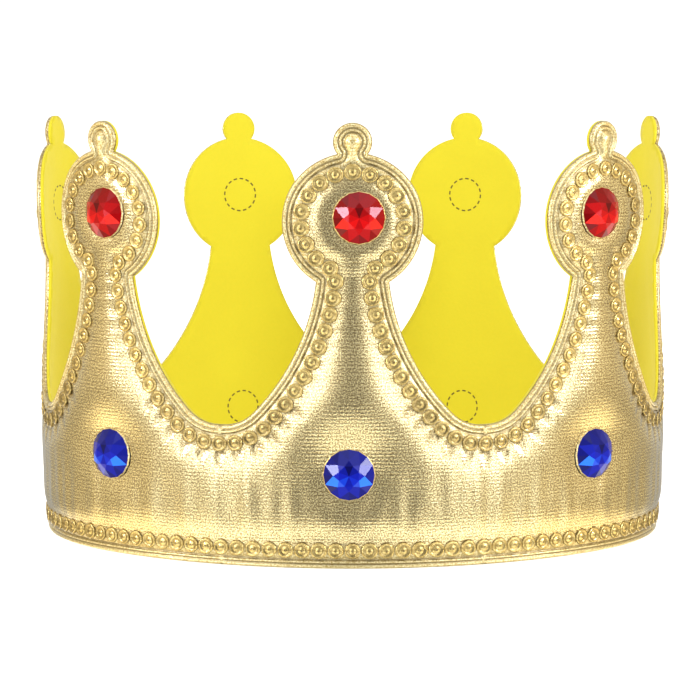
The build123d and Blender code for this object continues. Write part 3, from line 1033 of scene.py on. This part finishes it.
# %% [markdown]
# ## Where each piece belongs
# Each new piece stands for a CAD node and rides on the crown's only body.

# %% Pieces and nodes
fabric_pieces = (
    (cover, "gold_cover", "gold_fabric"),
    (lining, "yellow_lining", "yellow_felt"),
    (bead_trim, "bead_trim", "gold_beads"),
)
for piece, node, slot in fabric_pieces:
    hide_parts(node)
    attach(piece, "root")
for node, gem in gems.items():
    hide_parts(node)
    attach(gem, "root")
print(len(fabric_pieces) + len(gems), "pieces stand for", len(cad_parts), "CAD nodes")

# %% [markdown]
# ## Floor
# A pale paper floor that glows a little gives the white ground of a product picture. Gold would mirror it as
# a bright band along the bottom, so reflections don't show it.

# %% Floor
FLOOR_SIZE = 12
FLOOR_PLACE = (0, 3.0, 0)
PAPER = {
    "Base Color": linear("#F6F6F4"),
    "Roughness": 0.9,
    "Emission Color": (1, 1, 1, 1),
    "Emission Strength": 0.6,
}

bpy.ops.mesh.primitive_plane_add(size=FLOOR_SIZE, location=FLOOR_PLACE)
floor = bpy.context.object
floor.name = "floor"
paper, paper_tree = finish_for("white_paper_floor")
add(paper_tree, OUTPUT, {"Surface": add(paper_tree, PRINCIPLED, PAPER).outputs[0]})
floor.data.materials.append(paper)
floor.visible_glossy = False
print("floor:", paper.name)

# %% [markdown]
# ## Sky
# Metal fabric shows what it reflects, so the sky is drawn as a room. By compass it is dark straight in
# front, which gives the dark streak down the middle of the crown, bright to both sides of that, and warm at
# the sides. By height a bright belt lies below the horizon, which lights the lower band. Behind the crown
# the sky is white, and the camera sees it brighter than the fabric does.

# %% Sky
LEVELS = ((0.0, 0.11), (0.016, 0.24), (0.055, 0.72), (0.2, 0.85), (0.4, 0.74), (0.8, 0.45))
LIFTS = ((0.0, 0.1), (0.1, 0.2), (0.18, 1.8), (0.26, 1.8), (0.35, 0.0), (0.4, 0.0), (0.5, 0.36))
TONES = ((0.0, 1.0), (0.15, 1.0), (0.4, 0.62), (0.75, 0.62), (0.92, 1.0))
WARM_GREEN = 0.65
CAMERA_SKY = 1.1

scene = bpy.context.scene
world = bpy.data.worlds.new("studio")
scene.world = world
world.use_nodes = True
sky_tree = world.node_tree
sky_tree.nodes.clear()
way = add(sky_tree, "ShaderNodeTexCoord").outputs["Generated"]
level_way = add(sky_tree, "ShaderNodeVectorMath", {0: way, 1: (1, 1, 0)}, operation="MULTIPLY")
compass = add(sky_tree, "ShaderNodeVectorMath", {0: level_way.outputs[0]}, operation="NORMALIZE")
facing = add(sky_tree, "ShaderNodeSeparateXYZ", {"Vector": compass.outputs[0]}).outputs["Y"]
depth = add(sky_tree, RANGE, {"Value": facing, "From Min": -1.0, "From Max": 1.0}).outputs["Result"]
upwards = add(sky_tree, "ShaderNodeSeparateXYZ", {"Vector": way}).outputs["Z"]
rise = add(sky_tree, RANGE, {"Value": upwards, "From Min": -1.0, "From Max": 1.0}).outputs["Result"]
glow = add(sky_tree, "ShaderNodeValToRGB", {"Fac": depth})
tone = add(sky_tree, "ShaderNodeValToRGB", {"Fac": depth})
lift = add(sky_tree, "ShaderNodeValToRGB", {"Fac": rise})
ramps = (
    (glow, [(position, (level, level, level)) for position, level in LEVELS]),
    (lift, [(position, (level, level, level)) for position, level in LIFTS]),
    (tone, [(position, (1.0, WARM_GREEN + (1 - WARM_GREEN) * cool, cool)) for position, cool in TONES]),
)
for ramp, stops in ramps:
    elements = ramp.color_ramp.elements
    for number, (position, colour) in enumerate(stops):
        stop = elements[number] if number < len(elements) else elements.new(position)
        stop.position = position
        stop.color = (*colour, 1)
both = add(sky_tree, MATH, {0: glow.outputs["Color"], 1: lift.outputs["Color"]}, operation="ADD")
seen = add(sky_tree, "ShaderNodeLightPath").outputs["Is Camera Ray"]
strength = add(sky_tree, MIX, {"Factor": seen, "A": both.outputs[0], "B": CAMERA_SKY}).outputs["Result"]
sky = add(sky_tree, "ShaderNodeBackground", {"Color": tone.outputs["Color"], "Strength": strength})
add(sky_tree, "ShaderNodeOutputWorld", {"Surface": sky.outputs[0]})
print("sky:", len(LEVELS), "levels by compass,", len(LIFTS), "by height")

# %% [markdown]
# ## Lights
# Two cool soft boxes stand in front, left and right, and one hangs above. Two narrow windows further out
# give the front gems their white kites.

# %% Lights
LIGHT_COLOUR = (0.95, 0.97, 1.16)
LIGHT_AIM = (0, 0, 0.07)
LIGHTS = {
    "left_light": ((-0.8, -1.08, 0.3), (0.4, 0.9), 3.1),
    "left_window": ((-1.11, -0.6, 0.4), (0.12, 0.34), 4.2),
    "right_light": ((0.8, -1.08, 0.3), (0.4, 0.9), 2.9),
    "right_window": ((1.12, -0.585, 0.42), (0.2, 0.36), 5.6),
    "top_light": ((0, -0.4, 1.1), (1.5, 0.9), 4),
}

for name, (place, size, power) in LIGHTS.items():
    lamp = bpy.data.lights.new(name, "AREA")
    lamp.shape = "RECTANGLE"
    lamp.size, lamp.size_y = size
    lamp.energy = power
    lamp.color = LIGHT_COLOUR
    holder = bpy.data.objects.new(name, lamp)
    holder.location = place
    holder.rotation_euler = (Vector(LIGHT_AIM) - Vector(place)).to_track_quat("-Z", "Y").to_euler()
    scene.collection.objects.link(holder)
print(len(LIGHTS), "soft lights")

# %% [markdown]
# ## Camera
# The photo was taken with a long lens from a little above the crown. Place, tilt and lens were fitted
# together to the tips, the gems and the bottom edge in it.

# %% Camera
CAMERA_PLACE = (0, -0.8793, 0.1569)
CAMERA_TILT = 0.110
LENS = 133.2
SENSOR = 36.0
SIDE_SHIFT = -0.0037

camera_data = bpy.data.cameras.new("camera")
camera_data.sensor_width = SENSOR
camera_data.lens = LENS
camera_data.shift_x = SIDE_SHIFT
camera = bpy.data.objects.new("camera", camera_data)
camera.location = CAMERA_PLACE
camera.rotation_euler = (pi / 2 - CAMERA_TILT, 0, 0)
scene.collection.objects.link(camera)
scene.camera = camera
scene.view_settings.view_transform = "Standard"
print("camera with a lens of", LENS, "mm")
